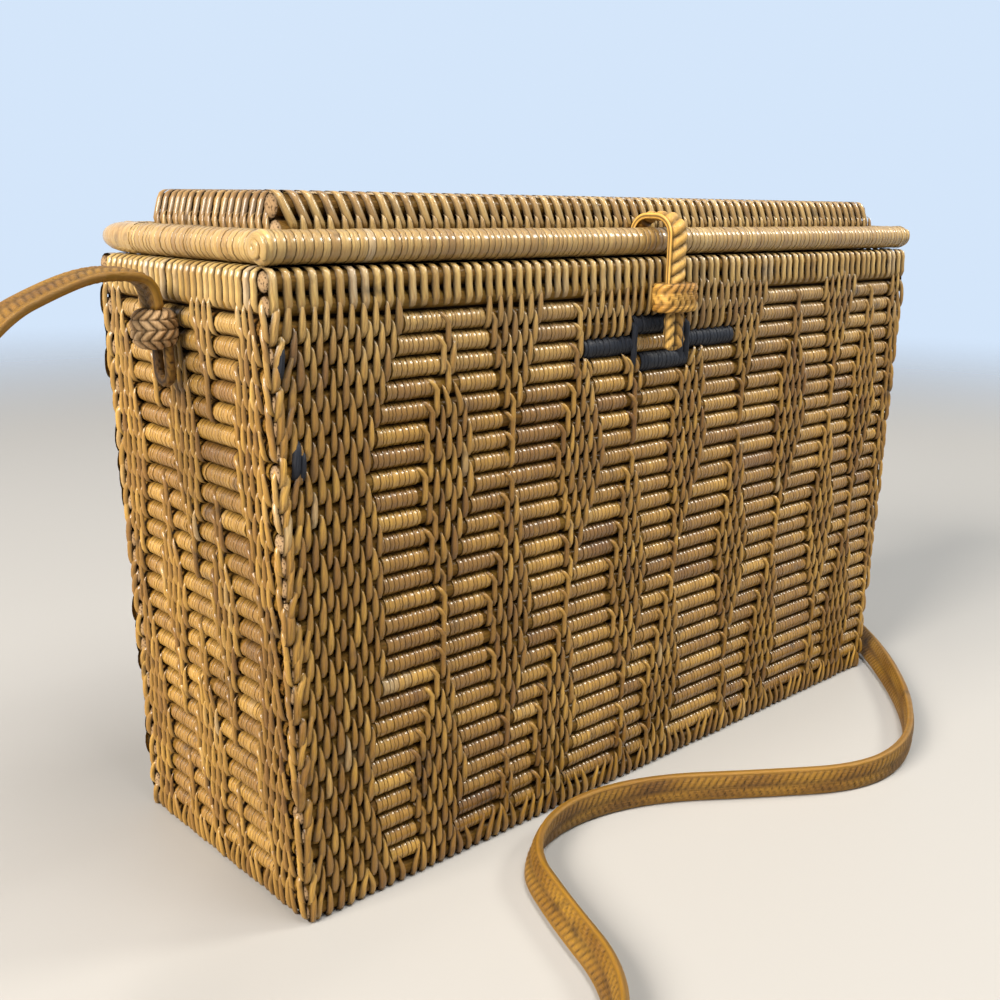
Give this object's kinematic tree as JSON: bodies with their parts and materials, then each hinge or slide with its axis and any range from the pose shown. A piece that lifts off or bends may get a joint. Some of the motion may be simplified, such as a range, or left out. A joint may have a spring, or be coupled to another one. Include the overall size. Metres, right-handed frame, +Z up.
{
  "type": "basket box bag",
  "caption": "Woven rattan box bag with zigzag stitched walls, a raised hinged lid, a braided tongue closure with a sliding ring and a long braided shoulder strap.",
  "frame": {"origin": "middle of the flat underside", "axes": "+X along the front to the right, front towards -Y, +Z up"},
  "size_m": [0.4187, 0.1862, 0.184],
  "materials": {
    "woven_rattan": "satin, honey-coloured split rattan",
    "rim_rattan": "satin, closely wound rattan",
    "dyed_rattan": "satin, black-dyed rattan",
    "hinge_vine": "matt vine",
    "strap_braid": "satin braided vine",
    "closure_braid": "satin braided vine"
  },
  "bodies": {
    "box": {"base_panel": "woven_rattan", "front_panel": "woven_rattan", "back_panel": "woven_rattan", "left_panel": "woven_rattan", "right_panel": "woven_rattan", "dyed_wraps": "dyed_rattan", "catch_rod": "woven_rattan", "hinge_loop_left": "hinge_vine", "hinge_loop_right": "hinge_vine", "strap_knot_left": "strap_braid", "strap_knot_right": "strap_braid", "strap_loop_left": "strap_braid", "strap_loop_right": "strap_braid", "shoulder_strap": "strap_braid"},
    "lid": {"rim_roll_front": "rim_rattan", "rim_roll_back": "rim_rattan", "rim_roll_left": "rim_rattan", "rim_roll_right": "rim_rattan", "lid_front": "woven_rattan", "lid_back": "woven_rattan", "lid_left": "woven_rattan", "lid_right": "woven_rattan", "lid_top": "woven_rattan", "closure_arch": "closure_braid"},
    "tongue": {"closure_tongue": "closure_braid"},
    "ring": {"closure_ring": "closure_braid"}
  },
  "joints": [
    {"name": "lid_hinge", "type": "hinge", "parent": "box", "child": "lid", "pos_m": [0, 0.0393, 0.1717], "axis": [-1, 0, 0], "range_deg": [0, 180]},
    {"name": "tongue_bend", "type": "hinge", "parent": "lid", "child": "tongue", "pos_m": [-0.004, -0.04225, 0.1803], "axis": [-1, 0, 0], "range_deg": [0, 100]},
    {"name": "ring_slide", "type": "slide", "parent": "tongue", "child": "ring", "axis": [0, 0, 1], "range_m": [-0.009, 0.005]}
  ]
}
